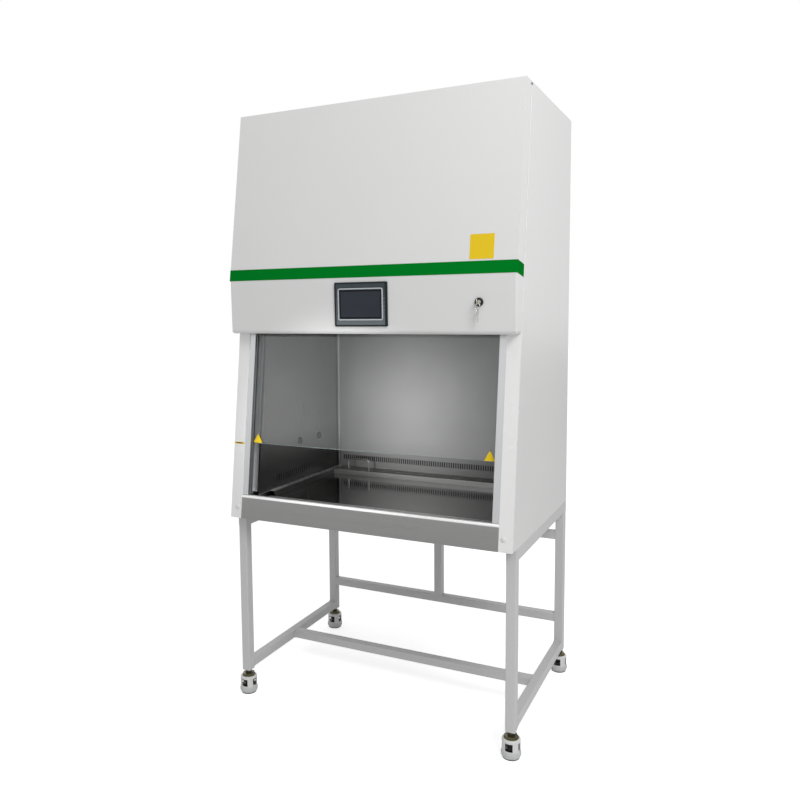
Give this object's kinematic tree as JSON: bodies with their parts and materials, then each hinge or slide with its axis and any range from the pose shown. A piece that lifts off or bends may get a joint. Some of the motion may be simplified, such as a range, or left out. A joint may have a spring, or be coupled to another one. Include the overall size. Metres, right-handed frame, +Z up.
{
  "type": "biosafety cabinet",
  "caption": "Free-standing biosafety cabinet with a raised glass sash over a stainless work tray, a hinged front cowl and a tube stand on levelling casters.",
  "frame": {"origin": "centre of the overall outline at floor level", "axes": "+X to the right seen from the front, -Y towards the operator, +Z up"},
  "size_m": [1.113, 0.7864, 2.19],
  "materials": {
    "white": "satin powder coat",
    "cap": "glossy",
    "green": "satin",
    "steel": "brushed stainless",
    "zinc": "zinc plated",
    "alu": "anodised",
    "glass": "clear safety glass",
    "bezel": "satin",
    "screen": "glossy",
    "black": "satin",
    "rubber": "matt",
    "chrome": "polished",
    "brass": "satin",
    "red": "satin",
    "lamp": "glossy",
    "paper": "folded paper in a metal frame",
    "grey": "satin powder coat",
    "nylon": "satin",
    "ring": "satin",
    "wheel": "matt",
    "dark": "satin"
  },
  "bodies": {
    "cabinet": {"side_panel_left": "white", "side_panel_right": "white", "rear_panel": "white", "top_panel": "white", "base_pan": "steel", "apron": "steel", "armrest": "steel", "post_left": "white", "post_right": "white", "post_caps": "cap", "liner_rear": "steel", "liner_left": "steel", "liner_right": "steel", "service_plugs": "black", "diffuser": "steel", "lamps": "lamp", "supply_filter": "paper", "exhaust_filter": "paper", "plenum": "zinc", "blower_housing": "zinc", "blower_motor": "dark", "guide_left": "alu", "guide_right": "alu", "lift_motor": "dark", "lift_belts": "rubber", "cowl_hinge": "zinc", "power_inlet": "black", "drain_valve": "brass", "stand_left": "grey", "stand_right": "grey", "stand_crossbars": "grey", "caster_stems": "zinc"},
    "sash": {"sash_glass": "glass", "sash_clamps": "black"},
    "lift_shaft": {"lift_shaft": "zinc"},
    "idlers": {"idler_pulleys": "zinc"},
    "cowl": {"front_cowl": "white", "green_band": "green", "panel_bezel": "bezel", "panel_screen": "screen", "key_switch": "black"},
    "key": {"key": "chrome"},
    "spare_key": {"spare_key": "chrome"},
    "drain_lever": {"drain_lever": "red"},
    "rotor": {"blower_rotor": "zinc"},
    "tray": {"work_tray": "steel"},
    "rear_ledge": {"rear_grille": "steel", "tray_handles": "steel"},
    "caster_fl": {"caster_body_fl": "nylon"},
    "wheel_fl": {"caster_wheel_fl": "wheel"},
    "foot_fl": {"foot_ring_fl": "ring"},
    "caster_fr": {"caster_body_fr": "nylon"},
    "wheel_fr": {"caster_wheel_fr": "wheel"},
    "foot_fr": {"foot_ring_fr": "ring"},
    "caster_rl": {"caster_body_rl": "nylon"},
    "wheel_rl": {"caster_wheel_rl": "wheel"},
    "foot_rl": {"foot_ring_rl": "ring"},
    "caster_rr": {"caster_body_rr": "nylon"},
    "wheel_rr": {"caster_wheel_rr": "wheel"},
    "foot_rr": {"foot_ring_rr": "ring"}
  },
  "joints": [
    {"name": "sash_slide", "type": "slide", "parent": "cabinet", "child": "sash", "axis": [0, 0.1219, 0.9925], "range_m": [-0.192, 0.24]},
    {"name": "lift_shaft_turn", "type": "hinge", "parent": "cabinet", "child": "lift_shaft", "pos_m": [0, -0.19273, 1.95], "axis": [1, 0, 0], "continuous": true},
    {"name": "idler_turn", "type": "hinge", "parent": "cabinet", "child": "idlers", "pos_m": [0, -0.25461, 1.446], "axis": [1, 0, 0], "continuous": true},
    {"name": "cowl_swing", "type": "hinge", "parent": "cabinet", "child": "cowl", "pos_m": [0, -0.21091, 2.1855], "axis": [-1, 0, 0], "range_deg": [0, 60]},
    {"name": "key_turn", "type": "hinge", "parent": "cowl", "child": "key", "pos_m": [0.418, -0.36052, 1.493], "axis": [0, -0.9997, -0.023], "range_deg": [0, 90]},
    {"name": "spare_key_swing", "type": "hinge", "parent": "key", "child": "spare_key", "pos_m": [0.418, -0.37742, 1.48861], "axis": [1, 0, 0], "range_deg": [-15, 10]},
    {"name": "drain_lever_turn", "type": "hinge", "parent": "cabinet", "child": "drain_lever", "pos_m": [0.3732, -0.06325, 0.665], "axis": [1, 0, 0], "range_deg": [0, 90]},
    {"name": "rotor_spin", "type": "hinge", "parent": "cabinet", "child": "rotor", "pos_m": [0, 0.15, 1.805], "axis": [0, 1, 0], "continuous": true},
    {"name": "tray_lift", "type": "slide", "parent": "cabinet", "child": "tray", "axis": [0, 0, 1], "range_m": [0, 0.05]},
    {"name": "rear_ledge_lift", "type": "slide", "parent": "cabinet", "child": "rear_ledge", "axis": [0, 0, 1], "range_m": [0, 0.05]},
    {"name": "swivel_fl", "type": "hinge", "parent": "cabinet", "child": "caster_fl", "pos_m": [-0.523, -0.32825, 0.07], "axis": [0, 0, 1], "continuous": true},
    {"name": "roll_fl", "type": "hinge", "parent": "caster_fl", "child": "wheel_fl", "pos_m": [-0.523, -0.32425, 0.024], "axis": [1, 0, 0], "continuous": true},
    {"name": "level_fl", "type": "slide", "parent": "caster_fl", "child": "foot_fl", "axis": [0, 0, 1], "range_m": [0, 0.008]},
    {"name": "swivel_fr", "type": "hinge", "parent": "cabinet", "child": "caster_fr", "pos_m": [0.523, -0.32825, 0.07], "axis": [0, 0, 1], "continuous": true},
    {"name": "roll_fr", "type": "hinge", "parent": "caster_fr", "child": "wheel_fr", "pos_m": [0.523, -0.32425, 0.024], "axis": [1, 0, 0], "continuous": true},
    {"name": "level_fr", "type": "slide", "parent": "caster_fr", "child": "foot_fr", "axis": [0, 0, 1], "range_m": [0, 0.008]},
    {"name": "swivel_rl", "type": "hinge", "parent": "cabinet", "child": "caster_rl", "pos_m": [-0.523, 0.35975, 0.07], "axis": [0, 0, 1], "continuous": true},
    {"name": "roll_rl", "type": "hinge", "parent": "caster_rl", "child": "wheel_rl", "pos_m": [-0.523, 0.36375, 0.024], "axis": [1, 0, 0], "continuous": true},
    {"name": "level_rl", "type": "slide", "parent": "caster_rl", "child": "foot_rl", "axis": [0, 0, 1], "range_m": [0, 0.008]},
    {"name": "swivel_rr", "type": "hinge", "parent": "cabinet", "child": "caster_rr", "pos_m": [0.523, 0.35975, 0.07], "axis": [0, 0, 1], "continuous": true},
    {"name": "roll_rr", "type": "hinge", "parent": "caster_rr", "child": "wheel_rr", "pos_m": [0.523, 0.36375, 0.024], "axis": [1, 0, 0], "continuous": true},
    {"name": "level_rr", "type": "slide", "parent": "caster_rr", "child": "foot_rr", "axis": [0, 0, 1], "range_m": [0, 0.008]}
  ],
  "couplings": [
    {"joint": "lift_shaft_turn", "follows": "sash_slide", "rad_per_m": -63.492},
    {"joint": "idler_turn", "follows": "sash_slide", "rad_per_m": -63.492}
  ]
}
